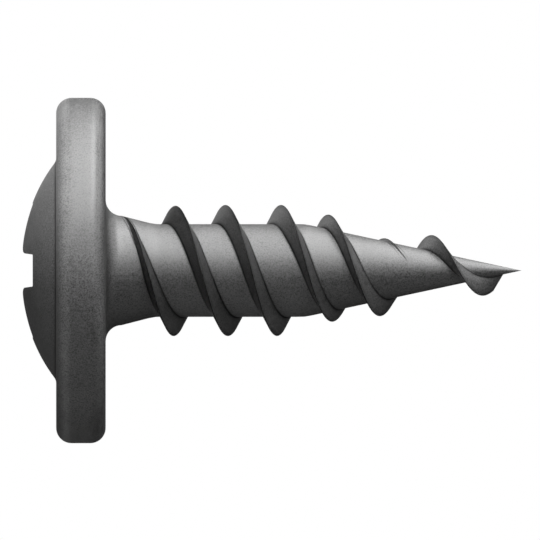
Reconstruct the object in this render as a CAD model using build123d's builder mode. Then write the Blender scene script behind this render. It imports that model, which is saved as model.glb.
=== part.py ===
from build123d import *
from math import asin, cos, degrees, radians, sin, sqrt, tan
import os

# Sheet metal screw, 4.2 x 13 mm: a low domed crown on a wide washer flange, a cross recess
# for a size 2 driver, and two right-hand V threads that start half a turn apart under the
# head. The long thread runs on almost to the point, the short one fades into the point cone.
# The origin is the centre of the bearing face under the flange, and +Z runs along the
# shank to the point, so the screw stands on its head. Lengths are in millimetres, angles in
# degrees.

# Washer flange
flange_radius = 5.4
flange_thickness = 1.55
rim_round = 0.48

# Crown: the cap of an ellipsoid, cut off where it meets the flange
crown_height = 1.12
crown_semi_height = 3.55
crown_semi_width = 4.69

# Neck, shank and point, from the bearing face down
under_head_length = 13.0
under_head_fillet = 0.5
neck_radius = 1.71
neck_length = 1.01
shank_radius = 1.45
point_length = 6.76

# Both threads: the crest starts just under the neck's surface, where the fillet ends
thread_radius = 2.05
thread_start_depth = 0.02
flank_angle = 24.0
point_lean = 3.5
sections_per_span = 8

# Long thread: it ends in a bare face, this far from the point and this high over the cone
long_lead = 3.243
long_rise = 1.52
long_fall_before_point = 0.79
long_end_gap = 0.89
long_end_height = 0.54

# Short thread: it ends under the surface of the point cone
short_lead = 3.321
short_rise = 1.79
short_fall_before_point = 0.37
short_end_gap = 3.2
short_end_height = -0.036

# Cross recess, measured where it breaks out of the crown
recess_radius = 2.1
recess_depth = 1.9
wing_width = 1.0
wing_draft = 8.0
wing_end_slope = 26.5
nose_distance = 0.93
nose_angle = 140.0
nose_draft = 5.75
floor_slope = 20.0
punch_overshoot = 0.1

flange_back = -flange_thickness
crown_top = flange_back - crown_height
crown_centre = crown_top + crown_semi_height
crown_base_angle = degrees(asin((crown_semi_height - crown_height) / crown_semi_height))
neck_end = under_head_fillet + neck_length
point_start = under_head_length - point_length
thread_start = under_head_fillet


def core_radius(height):
    """Radius of the shank or the point cone at a height above the bearing face."""
    return shank_radius * min((under_head_length - height) / point_length, 1)


def thread_ridge(first_angle, lead, rise, fall_before_point, end_gap, end_height):
    """A V ridge in half-turn spans, each lofted through sections in planes along the axis.

    The crest rises out of the neck over the height rise, keeps the thread's radius, and
    comes down in a straight line to end_height over the core, end_gap short of the point.
    The ridge is rooted halfway into the core.
    """
    fall_start = point_start - fall_before_point
    end = under_head_length - end_gap
    end_radius = core_radius(end) + end_height
    start_radius = neck_radius - thread_start_depth
    turns = (end - thread_start) / lead
    span_count = round(2 * turns)
    spans = []
    for span in range(span_count):
        with BuildPart() as ridge:
            for section in range(sections_per_span + 1):
                turn = turns * (span + section / sections_per_span) / span_count
                height = thread_start + lead * turn
                risen = start_radius + (thread_radius - start_radius) * lead * turn / rise
                fallen = (height - fall_start) / (end - fall_start)
                crest = min(risen, thread_radius, thread_radius + (end_radius - thread_radius) * fallen)
                root = core_radius(height) / 2
                lean = point_lean * min(max(2 * (height - fall_start) / lead, 0), 1)
                head_side = (crest - root) * tan(radians(flank_angle - lean))
                point_side = (crest - root) * tan(radians(flank_angle + lean))

                angle = radians(first_angle + 360 * turn)
                axial_plane = Plane(
                    origin=(0, 0, height),
                    x_dir=(cos(angle), sin(angle), 0),
                    z_dir=(sin(angle), -cos(angle), 0),
                )
                with BuildSketch(axial_plane):
                    with BuildLine():
                        Polyline((root, -head_side), (crest, 0), (root, point_side), close=True)
                    make_face()
            loft()
        spans.append(ridge.part)
    return spans


long_thread = thread_ridge(
    180, long_lead, long_rise, long_fall_before_point, long_end_gap, long_end_height
)
short_thread = thread_ridge(
    0, short_lead, short_rise, short_fall_before_point, short_end_gap, short_end_height
)

# Punch that leaves the cross recess: four drafted wings and a drafted star between them,
# trimmed to a cone at the ends of the wings and to a flatter cone at the floor
recess_rim = crown_centre - crown_semi_height * sqrt(1 - (recess_radius / crown_semi_width) ** 2)
recess_floor = recess_rim + recess_depth
floor_radius = recess_radius - recess_depth * tan(radians(wing_end_slope))
punch_top = crown_top - punch_overshoot
punch_radius = recess_radius + (recess_rim - punch_top) * tan(radians(wing_end_slope))
punch_tip = recess_floor + floor_radius * tan(radians(floor_slope))
punch_length = punch_tip - punch_top
wing_top_width = wing_width + 2 * (recess_rim - punch_top) * tan(radians(wing_draft))
nose_top_distance = nose_distance + punch_overshoot * tan(radians(nose_draft))
nose_tip_distance = nose_top_distance - punch_length * tan(radians(nose_draft))


def star_corners(nose):
    """Corners of the four-pointed star between the wings, with its noses this far out."""
    reach = nose / sqrt(2) * (1 + tan(radians(135 - nose_angle / 2)))
    corners = []
    for quarter in range(4):
        corners.append(Vector(reach, 0).rotate(Axis.Z, 90 * quarter))
        corners.append(Vector(nose, 0).rotate(Axis.Z, 90 * quarter + 45))
    return corners


with BuildPart() as punch:
    for height, nose in ((punch_top, nose_top_distance), (punch_tip, nose_tip_distance)):
        with BuildSketch(Plane.XY.offset(height)):
            with BuildLine():
                Polyline(*star_corners(nose), close=True)
            make_face()
    loft(ruled=True)
    with BuildSketch(Plane.XY.offset(punch_top)):
        Rectangle(2 * punch_radius, wing_top_width)
        Rectangle(wing_top_width, 2 * punch_radius)
    extrude(amount=punch_length, taper=wing_draft)
    with BuildSketch(Plane.XZ):
        with BuildLine():
            Polyline(
                (0, punch_top),
                (punch_radius, punch_top),
                (floor_radius, recess_floor),
                (0, punch_tip),
                close=True,
            )
        make_face()
    revolve(axis=Axis.Z, mode=Mode.INTERSECT)

# Body of revolution, then the threads on it and the recess in it
with BuildPart() as screw:
    with BuildSketch(Plane.XZ):
        with BuildLine():
            crown = EllipticalCenterArc(
                (0, crown_centre),
                crown_semi_width,
                crown_semi_height,
                start_angle=270,
                arc_size=90 - crown_base_angle,
            )
            rim = FilletPolyline(
                crown @ 1,
                (flange_radius, flange_back),
                (flange_radius, 0),
                (neck_radius + under_head_fillet, 0),
                radius=[rim_round, rim_round],
            )
            fillet_arc = RadiusArc(rim @ 1, (neck_radius, under_head_fillet), under_head_fillet)
            Polyline(
                fillet_arc @ 1,
                (shank_radius, neck_end),
                (shank_radius, point_start),
                (0, under_head_length),
                crown @ 0,
            )
        make_face()
    revolve(axis=Axis.Z)
    add(long_thread + short_thread)
    add(punch.part, mode=Mode.SUBTRACT)

screw.part.label = "screw"
print(f"crown base radius {(crown @ 1).X:.2f} mm, recess floor radius {floor_radius:.2f} mm")
print(f"{len(screw.part.solids())} solid, {screw.part.volume:.1f} mm3")

os.makedirs("parts", exist_ok=True)
export_step(screw.part, "parts/screw.step")
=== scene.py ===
import math
import bpy
import numpy as np
from mathutils import Matrix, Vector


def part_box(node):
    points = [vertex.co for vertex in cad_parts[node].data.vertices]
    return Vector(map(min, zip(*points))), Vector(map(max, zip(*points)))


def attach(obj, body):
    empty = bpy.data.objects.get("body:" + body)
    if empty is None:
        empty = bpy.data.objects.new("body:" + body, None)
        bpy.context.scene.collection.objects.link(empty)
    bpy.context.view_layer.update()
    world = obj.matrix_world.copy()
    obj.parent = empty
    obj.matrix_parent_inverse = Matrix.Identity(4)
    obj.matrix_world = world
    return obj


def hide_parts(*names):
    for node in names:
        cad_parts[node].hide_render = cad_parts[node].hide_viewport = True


# Sheet metal screw, 4.2 x 13 mm, standing on its head on a pale floor: one closed mesh with
# rounded thread crests, filleted roots and a softened cross recess, in dark satin steel.
# Sizes of the screw are in millimetres, as in the part's source, and become metres when the
# mesh is made. Materials, lamps and camera are in metres.

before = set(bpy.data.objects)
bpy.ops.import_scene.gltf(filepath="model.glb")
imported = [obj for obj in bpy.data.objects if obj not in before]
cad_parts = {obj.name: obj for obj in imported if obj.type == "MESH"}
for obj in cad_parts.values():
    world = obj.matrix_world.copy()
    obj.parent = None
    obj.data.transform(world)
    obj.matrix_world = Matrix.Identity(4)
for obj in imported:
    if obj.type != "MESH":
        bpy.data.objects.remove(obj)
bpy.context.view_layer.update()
MM = 0.001

# Washer flange and crown
flange_radius = 5.4
flange_thickness = 1.55
rim_round = 0.48
crown_height = 1.12
crown_semi_height = 3.55
crown_semi_width = 4.69

# Neck, shank and point, from the bearing face down
under_head_length = 13.0
under_head_fillet = 0.5
neck_radius = 1.71
neck_length = 1.01
shank_radius = 1.45
point_length = 6.76

# Both threads; the end of the short one sinks a little deeper into the cone than in the source
thread_radius = 2.05
thread_start_depth = 0.02
flank_angle = math.radians(24.0)
point_lean = math.radians(3.5)
long_thread = {"lead": 3.243, "rise": 1.52, "fall": 0.79, "end_gap": 0.89, "end_height": 0.54}
short_thread = {"lead": 3.321, "rise": 1.79, "fall": 0.37, "end_gap": 3.2, "end_height": -0.055}

# Cross recess
recess_radius = 2.1
recess_depth = 1.9
wing_width = 1.0
wing_draft = math.radians(8.0)
wing_end_slope = math.radians(26.5)
nose_distance = 0.93
nose_angle = math.radians(140.0)
nose_draft = math.radians(5.75)
floor_slope = math.radians(20.0)

# Softened edges, which the source leaves sharp: the radius of the crests, and how near to each
# other two surfaces start to blend. Ridges that stand lower than full_blend_height blend less,
# down to a share of least_blend.
crest_round = 0.016
root_blend = 0.03
full_blend_height = 0.2
least_blend = 0.02
body_blend = 0.03
crown_foot_blend = 0.08
recess_rim_blend = 0.04
recess_wall_blend = 0.06
recess_floor_blend = 0.14

# Painted shade in the creases: its tone against plain steel, and how far a ridge has to stand out
# for its creases to have it in full. Painted light makes the roundings at the front and back of
# the rim lighter by these shares.
painted_crease_shade = 0.1
full_painted_shade_height = 0.07
front_rim_painted_light = 0.28
back_rim_painted_light = 0.36

# Rows of the thread's mesh: shares of a flank's length, of a root's reach to either side and of
# the valley between two ridges, and how much painted shade each row of a ridge's side has, from
# crest to root.
# A root reaches root_reach, or a share of its ridge's half-width where that is less. Half-widths
# are found in a few rounds, and are taken to be no less than least_half_width.
flank_rows = (0.3, 0.65)
root_rows = (-1, -0.5, 0, 0.5, 1)
valley_rows = (0.2, 0.4, 0.6, 0.8)
side_painted_shade = np.array([1, 1, 0.4, 0, 0, 0, 0.25, 1, 0.25, 0])
root_reach = 0.06
root_reach_share = 0.3
least_half_width = 0.12
half_width_rounds = 5

# Columns of the mesh round the shank, and round the recess. Rows nearer than snap to an end of
# the threaded strip join the ring there. Where the long thread ends, points nearer than weld to
# each other become one, and turn_tolerance tells the column of its end from the next ones.
columns = 192
recess_columns = 2 * columns
spare_columns = 6
strip_end = 12.75
snap = 0.012
weld = 1e-5
turn_tolerance = 1e-6

crown_top = -flange_thickness - crown_height
crown_centre = crown_top + crown_semi_height
point_start = under_head_length - point_length


def smooth_max(a, b, blend):
    return np.maximum(a, b) + np.maximum(blend - np.abs(a - b), 0) ** 2 / (4 * blend)


def smooth_min(a, b, blend):
    return -smooth_max(-a, -b, blend)


# Rings and faces of the one mesh


class Skin:
    """Vertices and faces of a closed skin that is stitched together ring by ring."""

    def __init__(self):
        self.points = []
        self.shades = []
        self.faces = []

    def add(self, points, shade=1):
        """Adds points with painted light or shade, so many times as light as plain steel, and
        returns their numbers.
        """
        first = len(self.points)
        self.points.extend(tuple(point) for point in points)
        self.shades.extend([shade] * len(points))
        return list(range(first, len(self.points)))

    def ring(self, radius, height, angles, shade=1):
        """Adds points at these angles round the axis."""
        radius = np.broadcast_to(radius, angles.shape)
        height = np.broadcast_to(height, angles.shape)
        points = np.stack((radius * np.cos(angles), radius * np.sin(angles), height), axis=1)
        return self.add(points, shade)

    def radius(self, number):
        """Distance of a point from the axis."""
        x, y, _ = self.points[number]
        return math.hypot(x, y)

    def face(self, *corners):
        """Adds a face, or a smaller one or none where corners coincide."""
        kept = [c for i, c in enumerate(corners) if c != corners[i - 1]]
        if len(set(kept)) > 2:
            self.faces.append(kept)

    def fan(self, ring, middle):
        """Joins a ring to a point in its middle."""
        for i, corner in enumerate(ring):
            self.face(corner, ring[(i + 1) % len(ring)], middle)

    def stitch(self, lower, upper):
        """Joins two rings that have as many points, or one twice as many as the other."""
        count = min(len(lower), len(upper))
        for i in range(count):
            j = (i + 1) % count
            if len(lower) == len(upper):
                self.face(lower[i], lower[j], upper[j], upper[i])
            elif len(lower) > len(upper):
                self.face(lower[2 * i], lower[2 * i + 1], upper[i])
                self.face(lower[2 * i + 1], lower[2 * j], upper[j], upper[i])
            else:
                self.face(lower[i], upper[2 * i + 1], upper[2 * i])
                self.face(lower[i], lower[j], upper[2 * j], upper[2 * i + 1])

    def chain(self, rings):
        """Joins each ring to the next."""
        for lower, upper in zip(rings, rings[1:]):
            self.stitch(lower, upper)


skin = Skin()

# Threaded shank: a strip that winds along the long thread, one pitch wide. Its columns are
# half-planes along the axis, and its rows follow the crests, flanks and roots.


def core_radius(height):
    neck = neck_radius - (neck_radius - shank_radius) * (height - under_head_fillet) / neck_length
    cone = shank_radius * (under_head_length - height) / point_length
    return smooth_min(smooth_max(neck, shank_radius, body_blend), cone, body_blend)


def crest_line(thread, turn):
    """Height and radius of a thread's crest, and the angle by which its flanks lean."""
    height = under_head_fillet + thread["lead"] * turn
    fall_start = point_start - thread["fall"]
    end = under_head_length - thread["end_gap"]
    end_radius = shank_radius * thread["end_gap"] / point_length + thread["end_height"]
    start_radius = neck_radius - thread_start_depth
    past_start, past_fall = height - under_head_fillet, height - fall_start
    risen = start_radius + (thread_radius - start_radius) * past_start / thread["rise"]
    fallen = thread_radius - (thread_radius - end_radius) * past_fall / (end - fall_start)
    crest = smooth_min(smooth_min(risen, thread_radius, body_blend), fallen, body_blend)
    lean = point_lean * np.clip(2 * past_fall / thread["lead"], 0, 1)
    return height, crest, lean


def last_turn(thread):
    return (under_head_length - thread["end_gap"] - under_head_fillet) / thread["lead"]


def standing(thread, turn):
    """How far a thread's crest stands out of the core, below zero where it is under it."""
    height, crest, _ = crest_line(thread, turn)
    return crest - core_radius(height)


def ridge_radius(thread, turn, height):
    """Radius of a V ridge with a rounded crest, at heights in the half-plane of this turn."""
    crest_height, crest, lean = crest_line(thread, turn)
    offset = height - crest_height
    flank = flank_angle + np.where(offset < 0, -lean, lean)
    apex = crest - crest_round + crest_round / np.sin(flank)
    straight = apex - np.abs(offset) / np.tan(flank)
    rounded = crest - crest_round + np.sqrt(np.maximum(crest_round**2 - offset**2, 0))
    return np.where(np.abs(offset) < crest_round * np.cos(flank), rounded, straight)


def side_rows(thread, turn, side):
    """Distances of the rows from the crest line, down one flank and over its root."""
    crest_height, crest, lean = crest_line(thread, turn)
    flank = flank_angle + side * lean
    apex = crest - crest_round + crest_round / np.sin(flank)
    half_width = least_half_width
    for _ in range(half_width_rounds):
        half_width = (apex - core_radius(crest_height + side * half_width)) * np.tan(flank)
        half_width = np.maximum(half_width, least_half_width)
    arc_end = crest_round * np.cos(flank)
    root = np.minimum(root_reach, root_reach_share * half_width)
    inner = half_width - root
    rows = [0 * inner, 0.5 * arc_end, arc_end]
    rows += [arc_end + share * (inner - arc_end) for share in flank_rows]
    rows += [half_width + share * root for share in root_rows]
    return rows


# A column of the strip starts on the long thread's crest at a turn, crosses the short thread's
# crest half a turn further on, and ends at the long thread's next crest


def column_heights(turn):
    """Heights of the rows in a column."""
    lower = crest_line(long_thread, turn)[0]
    middle = crest_line(short_thread, turn + 0.5)[0]
    upper = crest_line(long_thread, turn + 1)[0]
    up = [lower + row for row in side_rows(long_thread, turn, 1)]
    middle_down = [middle - row for row in side_rows(short_thread, turn + 0.5, -1)][::-1]
    middle_up = [middle + row for row in side_rows(short_thread, turn + 0.5, 1)]
    down = [upper - row for row in side_rows(long_thread, turn + 1, -1)][::-1]
    valleys = [
        [start + share * (end - start) for share in valley_rows]
        for start, end in ((up[-1], middle_down[0]), (middle_up[-1], down[0]))
    ]
    return np.array(up + valleys[0] + middle_down + middle_up[1:] + valleys[1] + down[:-1])


def column_painted_shade(turn):
    """Painted shade of each row of a column: dark on crests and roots of ridges that stand out."""
    lower, middle, upper = (
        np.clip(standing(thread, ridge_turn) / full_painted_shade_height, 0, 1)
        for thread, ridge_turn in (
            (long_thread, turn),
            (short_thread, turn + 0.5),
            (long_thread, turn + 1),
        )
    )
    valley = [0] * len(valley_rows)
    creases = (
        lower * side_painted_shade,
        valley,
        middle * side_painted_shade[::-1],
        middle * side_painted_shade[1:],
        valley,
        upper * side_painted_shade[:0:-1],
    )
    return 1 - (1 - painted_crease_shade) * np.concatenate(creases)


def column_radii(turn, heights, after_end):
    """Radii of the shank in a column; after_end leaves out the long thread where it ends there.
    The short thread has no end of its own, because its crest sinks into the cone."""
    radii = core_radius(heights)
    for thread, ridge_turn in (
        (long_thread, turn),
        (long_thread, turn + 1),
        (short_thread, turn + 0.5),
        (short_thread, turn - 0.5),
        (short_thread, turn + 1.5),
    ):
        past_end = ridge_turn - last_turn(thread)
        tolerance = -turn_tolerance if after_end else turn_tolerance
        if thread is long_thread and past_end > tolerance:
            continue
        blend = np.clip(standing(thread, ridge_turn) / full_blend_height, least_blend, 1)
        radii = smooth_max(radii, ridge_radius(thread, ridge_turn, heights), root_blend * blend)
    return radii


# The columns are turned so that the long thread ends on one of them. They start a turn and a few
# columns before the strip and end as far past it, and their rows out there join its end rings.
end_place = last_turn(long_thread) * columns
end_column = math.ceil(end_place)
turn_offset = (end_place - end_column) / columns
strip_columns = math.ceil((strip_end - under_head_fillet) / long_thread["lead"] * columns)
overhang = columns + spare_columns
column_numbers = np.arange(-overhang, strip_columns + overhang)
column_angles = math.pi + 2 * math.pi * (turn_offset + np.arange(columns) / columns)


def build_shank():
    """Adds the shank, and returns its ring at the neck and its ring at the point."""
    neck_ring = skin.ring(core_radius(under_head_fillet), under_head_fillet, column_angles)
    point_ring = skin.ring(core_radius(strip_end), strip_end, column_angles)
    before, after = {}, {}
    for column in column_numbers:
        turn = turn_offset + column / columns
        heights, shades = column_heights(turn), column_painted_shade(turn)
        place = column % columns
        angle = column_angles[place]
        for table, after_end in ((before, False), (after, True)):
            if after_end and column not in (end_column, end_column - columns):
                table[column] = before[column]
                continue
            numbers = []
            for row, radius in enumerate(column_radii(turn, heights, after_end)):
                height = heights[row]
                if height < under_head_fillet + snap:
                    numbers.append(neck_ring[place])
                elif height > strip_end - snap:
                    numbers.append(point_ring[place])
                elif after_end and abs(radius - skin.radius(before[column][row])) < weld:
                    numbers.append(before[column][row])
                else:
                    point = (radius * math.cos(angle), radius * math.sin(angle), height)
                    numbers += skin.add([point], shades[row])
            table[column] = numbers

    for column in column_numbers[: -columns - 1]:
        left = after[column] + [after[column + columns][0]]
        right = before[column + 1] + [before[column + 1 + columns][0]]
        for row in range(len(left) - 1):
            skin.face(left[row], right[row], right[row + 1], left[row + 1])

    # Bare face in which the long thread ends
    for column in (end_column - columns, end_column):
        ridge, bare = before[column], after[column]
        if column + columns in before:
            ridge = ridge + [before[column + columns][0]]
            bare = bare + [after[column + columns][0]]
        for row in range(len(ridge) - 1):
            skin.face(bare[row], bare[row + 1], ridge[row + 1], ridge[row])
    return neck_ring, point_ring


neck_ring, point_ring = build_shank()

# Point: the last stretch of the cone, which ends in a very small blunt tip. Each ring has its
# height, and how many columns apart its corners are.
point_rings = ((12.81, 2), (12.87, 4), (12.93, 8), (12.975, 8), (12.993, 16))
blunt_radius = 0.004
cone_rings = [point_ring]
for height, step in point_rings:
    radius = max(core_radius(height), blunt_radius)
    cone_rings.append(skin.ring(radius, height, column_angles[::step]))
skin.chain(cone_rings)
skin.fan(cone_rings[-1], skin.add([(0, 0, under_head_length)])[0])

# Head: rings from the crown over the flange's rim and the bearing face to the neck, with a ring
# on an arc for each of its shades. The crease at the crown's foot is darkened by painted shade,
# and the roundings of the rim are lightened by painted light.
crown_radii = (2.66, 2.78, 2.9, 3.02, 3.14, 3.23, 3.3, 3.36, 3.4, 3.43, 3.46, 3.5, 3.55, 3.62)
crown_foot_painted_shade = {3.36: 0.8, 3.4: 0.41, 3.43: 0.35, 3.46: 0.61, 3.5: 0.87}
flange_back_radii = (3.9, 4.25, 4.6)
rim_heights = (-0.9, -0.65)
bearing_radii = (4.5, 4.0, 3.5, 3.0, 2.6)
# Painted light on the rim's roundings: strongest mid-way on the front one, nearer the outer end of
# the back one
rounding = np.linspace(0, 1, 11)
back_rim_painted_light_factors = 1 + back_rim_painted_light * np.sin(math.pi * rounding**2) ** 2
front_rim_painted_light_factors = 1 + front_rim_painted_light * np.sin(math.pi * rounding) ** 2
fillet_shades = [1] * 10


def dome_share(radius):
    """Share of its semi-height by which the crown's ellipsoid stands out from its centre."""
    return np.sqrt(1 - (radius / crown_semi_width) ** 2)


def dome_height(radius):
    return crown_centre - crown_semi_height * dome_share(radius)


def crown_height_at(radius):
    """Height of the crown's surface, blended into the back of the flange at its foot."""
    return smooth_min(dome_height(radius), -flange_thickness, crown_foot_blend)


def arc(centre, radius, start, end, shades):
    """Radius, height and shade of points on an arc in a half-plane, with angles in degrees."""
    angles = np.radians(np.linspace(start, end, len(shades)))
    return [
        (centre[0] + radius * math.cos(angle), centre[1] + radius * math.sin(angle), shade)
        for angle, shade in zip(angles, shades)
    ]


rim_centre_radius = flange_radius - rim_round
back_rim_centre = (rim_centre_radius, rim_round - flange_thickness)
front_rim_centre = (rim_centre_radius, -rim_round)
fillet_centre = (neck_radius + under_head_fillet, under_head_fillet)
profile = [
    *((r, crown_height_at(r), crown_foot_painted_shade.get(r, 1)) for r in crown_radii),
    *((r, -flange_thickness, 1) for r in flange_back_radii),
    *arc(back_rim_centre, rim_round, -90, 0, back_rim_painted_light_factors),
    *((flange_radius, height, 1) for height in rim_heights),
    *arc(front_rim_centre, rim_round, 0, 90, front_rim_painted_light_factors),
    *((r, 0, 1) for r in bearing_radii),
    *arc(fillet_centre, under_head_fillet, 270, 180, fillet_shades)[:-1],
]
head_rings = [skin.ring(radius, height, column_angles, shade) for radius, height, shade in profile]
skin.chain(head_rings + [neck_ring])

# Cross recess: the hard walls and floor are worked out in each half-plane, and their points
# are then moved onto the same surfaces with softened edges

recess_rim = dome_height(recess_radius)
floor_radius = recess_radius - recess_depth * math.tan(wing_end_slope)
recess_tip = recess_rim + recess_depth + floor_radius * math.tan(floor_slope)
star_side = math.sin(nose_angle / 2)
star_turn = math.radians(135) - nose_angle / 2

# Its rows, from the middle of the floor outward: shares of the floor with how many columns apart
# the corners are, distances from the wall's foot along the floor and up the wall, shares of the
# wall, distances from its rim down the wall and out on the crown, and shares of the crown. Those
# of the floor end floor_margin short of the foot, and those of the crown at recess_edge.
floor_rows = ((0.25, 8), (0.5, 4), (0.75, 2), (1, 1))
floor_margin = 0.12
foot_insets = (0.08, 0.04, 0.012)
foot_rises = (0.01, 0.04, 0.08, 0.13)
wall_rows = (0.8, 0.6, 0.4, 0.2)
rim_drops = (0.07, 0.045, 0.02, 0.004)
rim_outsets = (0.015, 0.035, 0.06, 0.1)
crown_rows = (0.2, 0.4, 0.6, 0.8, 1)
recess_edge = 2.55

# Rounds of halving and of moving points, the step over which a slope is measured, and a number
# that keeps a division from zero
halvings = 40
settle_rounds = 8
probe = 1e-5
tiny = 1e-9


def half_wing(height):
    return wing_width / 2 - (height - recess_rim) * math.tan(wing_draft)


def wing_end(height):
    return recess_radius - (height - recess_rim) * math.tan(wing_end_slope)


def nose_radius(height):
    return nose_distance - (height - crown_top) * math.tan(nose_draft)


def floor_at(radius):
    return recess_tip - radius * math.tan(floor_slope)


def wall_radius(angle, height):
    """Radius of the recess's hard wall in each direction, at a height."""
    x, y = np.abs(np.cos(angle)), np.abs(np.sin(angle))
    x, y = np.maximum(x, y), np.minimum(x, y)
    along_wing = half_wing(height) / np.maximum(y, tiny)
    star = star_side * nose_radius(height) / (math.cos(star_turn) * x + math.sin(star_turn) * y)
    return np.minimum(np.maximum(along_wing, star), wing_end(height))


def recess_gap(angle, radius, height):
    """Distance into the steel, below zero in the open, with every edge of the recess softened."""

    def star_plane(u, v):
        reach = (math.cos(star_turn) * u + math.sin(star_turn) * v) / star_side
        return (nose_radius(height) - reach) * star_side * math.cos(nose_draft)

    x, y = np.abs(radius * np.cos(angle)), np.abs(radius * np.sin(angle))
    wing = (half_wing(height) - np.minimum(x, y)) * math.cos(wing_draft)
    star = smooth_max(star_plane(x, y), star_plane(y, x), recess_wall_blend)
    end = (wing_end(height) - radius) * math.cos(wing_end_slope)
    floor = (floor_at(radius) - height) * math.cos(floor_slope)
    punch = smooth_max(wing, star, recess_wall_blend)
    punch = smooth_min(punch, end, recess_wall_blend)
    punch = smooth_min(punch, floor, recess_floor_blend)
    crown = (height - crown_height_at(radius)) * dome_share(radius)
    return smooth_min(crown, -punch, recess_rim_blend)


def crossing(function, low, high):
    """Where a function of arrays falls through zero, by halving."""
    for _ in range(halvings):
        middle = (low + high) / 2
        above = function(middle) > 0
        low, high = np.where(above, middle, low), np.where(above, high, middle)
    return (low + high) / 2


def settled(angles, radius, height):
    """Points of a row, moved onto the softened surface within their half-planes."""
    for _ in range(settle_rounds):
        gap = recess_gap(angles, radius, height)
        across = (recess_gap(angles, radius + probe, height) - gap) / probe
        along = (recess_gap(angles, radius, height + probe) - gap) / probe
        scale = gap / (across**2 + along**2)
        radius, height = radius - scale * across, height - scale * along
    return radius, height


def recess_rows(angles):
    """Radii and heights of the recess's rows on its hard surfaces, and how many columns apart
    their corners are, from the middle of the floor outward over the rim onto the crown."""
    top = np.full(recess_columns, crown_top)
    bottom = np.full(recess_columns, recess_tip)
    foot = crossing(lambda h: floor_at(wall_radius(angles, h)) - h, top, bottom)
    rim = crossing(lambda h: crown_height_at(wall_radius(angles, h)) - h, top, bottom)
    foot_radius, rim_radius = wall_radius(angles, foot), wall_radius(angles, rim)

    floor = [(share * (foot_radius - floor_margin), step) for share, step in floor_rows]
    floor += [(foot_radius - inset, 1) for inset in foot_insets]
    wall_height = foot - rim - (foot_rises[-1] + rim_drops[0])
    wall = [foot - rise for rise in foot_rises]
    wall += [rim + rim_drops[0] + share * wall_height for share in wall_rows]
    wall += [rim + drop for drop in rim_drops]
    crown = [rim_radius + outset for outset in rim_outsets]
    crown += [crown[-1] + share * (recess_edge - crown[-1]) for share in crown_rows]
    return [
        *((radius, floor_at(radius), step) for radius, step in floor),
        *((wall_radius(angles, height), height, 1) for height in wall),
        *((radius, crown_height_at(radius), 1) for radius in crown),
    ]


def build_recess():
    """Adds the recess and the crown round it, and joins them to the rest of the head."""
    angles = column_angles[0] + 2 * math.pi * np.arange(recess_columns) / recess_columns
    rings = []
    for radius, height, step in recess_rows(angles):
        radius, height = settled(angles, radius, height)
        rings.append(skin.ring(radius[::step], height[::step], angles[::step]))
    skin.fan(rings[0][::-1], skin.add([(0, 0, recess_tip)])[0])
    skin.chain(rings + [head_rings[0]])


build_recess()

# Faces that meet at more than this angle keep a sharp edge
sharp_angle = math.radians(38)
mesh = bpy.data.meshes.new("steel_screw")
mesh.from_pydata([(x * MM, y * MM, z * MM) for x, y, z in skin.points], [], skin.faces)
mesh.validate()
# The shade attribute holds the painted shade in the creases and the painted light on the rim's
# roundings
mesh.attributes.new("shade", "FLOAT", "POINT").data.foreach_set("value", skin.shades)
mesh.shade_smooth()
mesh.set_sharp_from_angle(angle=sharp_angle)
screw = bpy.data.objects.new("steel_screw", mesh)
bpy.context.scene.collection.objects.link(screw)
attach(screw, "root")
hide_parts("screw")


# Materials


class Nodes:
    """Adds nodes to a node tree and links them."""

    def __init__(self, tree):
        self.tree = tree
        tree.nodes.clear()

    def add(self, kind, inputs=None, **settings):
        node = self.tree.nodes.new(kind)
        for name, value in settings.items():
            setattr(node, name, value)
        for name, value in (inputs or {}).items():
            if isinstance(value, bpy.types.NodeSocket):
                self.tree.links.new(value, node.inputs[name])
            else:
                node.inputs[name].default_value = value
        return node

    def math(self, operation, *values):
        return self.add("ShaderNodeMath", dict(enumerate(values)), operation=operation).outputs[0]

    def ramp(self, value, low, high, to_low, to_high, kind="LINEAR"):
        """Value, mapped from the range low to high onto the range to_low to to_high."""
        inputs = {
            "Value": value,
            "From Min": low,
            "From Max": high,
            "To Min": to_low,
            "To Max": to_high,
        }
        return self.add("ShaderNodeMapRange", inputs, interpolation_type=kind).outputs["Result"]

    def noise(self, place, scale, detail, roughness):
        inputs = {"Vector": place, "Scale": scale, "Detail": detail, "Roughness": roughness}
        return self.add("ShaderNodeTexNoise", inputs).outputs["Fac"]

    def rays(self):
        """Whether a ray is the camera's own, and whether it was reflected or went through glass."""
        path = self.add("ShaderNodeLightPath").outputs
        reflected = self.math("MAXIMUM", path["Is Glossy Ray"], path["Is Transmission Ray"])
        return path["Is Camera Ray"], reflected


def grey(value):
    return (value, value, value, 1)


# Steel: grains of light and dark, smooth and rough, under a faint cloud that also makes the painted
# shade in the creases and the painted light on the rim's roundings uneven. Each pair is mapped from
# the noise's usual range. The edge tint dims what the steel reflects at a slant.
noise_range = (0.3, 0.7)
grain_tones = (0.13, 0.36)
grain_roughness = (0.34, 0.7)
grain_depth = 3e-6
cloud_tones = (-0.012, 0.012)
painted_mark_unevenness = (0.75, 1.25)
edge_tint = 0.5


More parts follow.
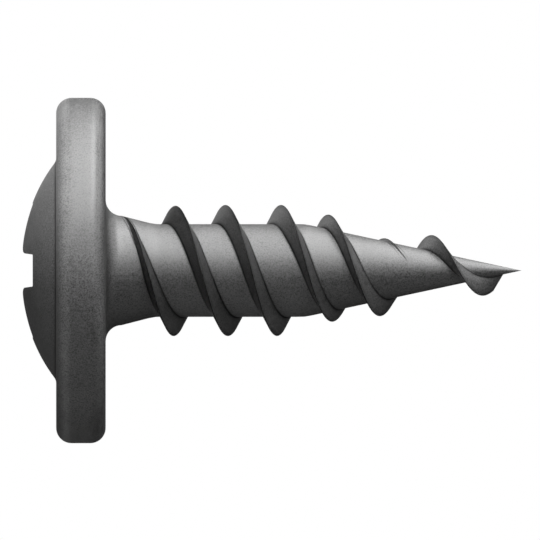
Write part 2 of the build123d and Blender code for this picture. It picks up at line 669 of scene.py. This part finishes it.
def steel_material():
    material = bpy.data.materials.new("dark_steel")
    material.use_nodes = True
    nodes = Nodes(material.node_tree)
    place = nodes.add("ShaderNodeTexCoord").outputs["Object"]
    grain = nodes.noise(place, scale=22000, detail=2, roughness=0.6)
    cloud = nodes.noise(place, scale=900, detail=3, roughness=0.5)
    tone = nodes.ramp(grain, *noise_range, *grain_tones)
    tone = nodes.math("ADD", tone, nodes.ramp(cloud, *noise_range, *cloud_tones))
    uneven = nodes.ramp(cloud, *noise_range, *painted_mark_unevenness)
    # Painted shade and painted light, read from the shade attribute and made uneven by the cloud
    shade = nodes.add("ShaderNodeAttribute", attribute_name="shade").outputs["Fac"]
    shade = nodes.math("MULTIPLY_ADD", nodes.math("SUBTRACT", shade, 1), uneven, 1)
    tone = nodes.math("MULTIPLY", tone, shade)
    colour = nodes.add("ShaderNodeCombineColor", {"Red": tone, "Green": tone, "Blue": tone})
    roughness = nodes.ramp(grain, *noise_range, *grain_roughness)
    bump = nodes.add("ShaderNodeBump", {"Height": grain, "Distance": grain_depth, "Strength": 1.0})
    shader = nodes.add(
        "ShaderNodeBsdfPrincipled",
        {
            "Base Color": colour.outputs[0],
            "Metallic": 1.0,
            "Specular Tint": grey(edge_tint),
            "Roughness": roughness,
            "Normal": bump.outputs[0],
        },
    )
    nodes.add("ShaderNodeOutputMaterial", {"Surface": shader.outputs[0]})
    return material


screw.data.materials.append(steel_material())

# Floor: pale, with light of its own that only the camera sees, dimmed by a painted shadow where
# the screw is near.
# What the steel reflects is a painted glow of the floor instead, which no lamp gives. It is full
# on the key lamp's side, goes down to weak_glow across glow_across, and fades away between
# glow_distances from the middle. On the side in painted shadow weak_glow falls from the one level
# to the other between its distances.
floor_size = 4
floor_colour = grey(0.5)
camera_light = 0.65
painted_shadow_distance = 0.012
glow_across = (-0.0055, 0.0012)
glow_distances = (0.012, 0.032)
weak_glow = (0.15, 0.01)
weak_glow_distances = (0.0035, 0.0065)

floor_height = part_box("screw")[0][2]
bpy.ops.mesh.primitive_plane_add(size=floor_size, location=(0, 0, floor_height))
floor = bpy.context.object
floor.name = "floor"


def floor_material():
    material = bpy.data.materials.new("pale_floor")
    material.use_nodes = True
    nodes = Nodes(material.node_tree)
    from_camera, reflected = nodes.rays()
    ambient = {"Distance": painted_shadow_distance}
    # Painted contact shadow: the floor's light for the camera is dimmed where the screw is near
    open_share_for_painted_shadow = nodes.add("ShaderNodeAmbientOcclusion", ambient, samples=8).outputs["AO"]
    seen = nodes.math("MULTIPLY", nodes.math("MULTIPLY", from_camera, open_share_for_painted_shadow), camera_light)
    place = nodes.add("ShaderNodeTexCoord").outputs["Object"]
    across = nodes.add("ShaderNodeSeparateXYZ", {"Vector": place}).outputs["X"]
    distance = nodes.add("ShaderNodeVectorMath", {0: place}, operation="LENGTH").outputs["Value"]
    # Painted glow for rays the steel reflects: full on the key lamp's side, weak on the side in
    # painted shadow
    weak = nodes.ramp(distance, *weak_glow_distances, *weak_glow)
    glow = nodes.ramp(across, *glow_across, 1, weak, "SMOOTHSTEP")
    fade = nodes.ramp(distance, *glow_distances, 1, 0, "SMOOTHSTEP")
    glow = nodes.math("MULTIPLY", reflected, nodes.math("MULTIPLY", glow, fade))
    level = nodes.math("ADD", seen, glow)
    shine = nodes.add("ShaderNodeEmission", {"Color": grey(1), "Strength": level})
    matt = nodes.add("ShaderNodeBsdfDiffuse", {"Color": floor_colour})
    both = nodes.add("ShaderNodeAddShader", {0: matt.outputs[0], 1: shine.outputs[0]})
    nodes.add("ShaderNodeOutputMaterial", {"Surface": both.outputs[0]})
    return material


floor.data.materials.append(floor_material())

# World: white for the camera and dim for light on the screw, a little less so overhead. What the
# steel reflects is brighter behind the screw, as the camera sees it. The ranges are of the
# direction's upward part and of its part away from the camera.
world_levels = (0.04, 0.2)
overhead_range = (0.6, 0.9)
behind_level = 0.3
behind_range = (0.95, 0.99)


def studio_world():
    world = bpy.data.worlds.new("studio")
    world.use_nodes = True
    nodes = Nodes(world.node_tree)
    from_camera, reflected = nodes.rays()
    place = nodes.add("ShaderNodeTexCoord").outputs["Generated"]
    direction = nodes.add("ShaderNodeSeparateXYZ", {"Vector": place}).outputs
    plain = nodes.ramp(direction["Z"], *overhead_range, *world_levels)
    behind = nodes.ramp(direction["Y"], *behind_range, 0, behind_level)
    behind = nodes.math("MULTIPLY", reflected, behind)
    level = nodes.math("MAXIMUM", plain, nodes.math("MAXIMUM", from_camera, behind))
    background = nodes.add("ShaderNodeBackground", {"Color": grey(1), "Strength": level})
    nodes.add("ShaderNodeOutputWorld", {"Surface": background.outputs[0]})
    return world


bpy.context.scene.world = studio_world()

# Lamps, all upright and this far from the screw
lamp_distance = 0.6


def softbox(name, angle, width, height, foot, radiance):
    """A lamp with its foot so high over the floor; its angle is from the picture's top towards
    the camera, in degrees."""
    lamp = bpy.data.lights.new(name, "AREA")
    lamp.shape = "RECTANGLE"
    lamp.size, lamp.size_y = width, height
    lamp.energy = radiance * math.pi * width * height
    angle = math.radians(angle)
    toward = (-math.cos(angle), -math.sin(angle))
    across = (toward[1], -toward[0])
    box = bpy.data.objects.new(name, lamp)
    box.matrix_world = Matrix(
        (
            (across[0], 0, toward[0], toward[0] * lamp_distance),
            (across[1], 0, toward[1], toward[1] * lamp_distance),
            (0, 1, 0, floor_height + foot + height / 2),
            (0, 0, 0, 1),
        )
    )
    box.visible_camera = False
    bpy.context.scene.collection.objects.link(box)


softbox("key", angle=15, width=1.2, height=0.32, foot=0, radiance=4.45)
softbox("upper_key", angle=15, width=1.2, height=0.58, foot=0.72, radiance=1.6)
softbox("side", angle=-45, width=0.32, height=0.72, foot=0, radiance=1.45)
softbox("front", angle=75, width=0.32, height=0.72, foot=0, radiance=0.85)
softbox("fill", angle=165, width=1.2, height=0.72, foot=0, radiance=0.09)

# Camera: level with the screw and rolled, so that the head is on the left of the picture. It is
# this many pixels from the bearing face to the point, and the middle of the picture lies so far
# from the bearing face and over the axis.
picture_width = 540
point_pixels = 415.8
pixel = under_head_length / point_pixels * MM
middle_along, middle_over = 164.3 * pixel, 0.52 * pixel
camera_distance = 0.1

camera = bpy.data.objects.new("camera", bpy.data.cameras.new("camera"))
camera.data.type = "ORTHO"
camera.data.ortho_scale = picture_width * pixel
camera.data.clip_start = 0.001
camera.data.clip_end = 1
camera.matrix_world = Matrix(
    (
        (0, -1, 0, -middle_over),
        (0, 0, -1, -camera_distance),
        (1, 0, 0, middle_along),
        (0, 0, 0, 1),
    )
)
bpy.context.scene.collection.objects.link(camera)
bpy.context.scene.camera = camera
bpy.context.scene.view_settings.view_transform = "Standard"
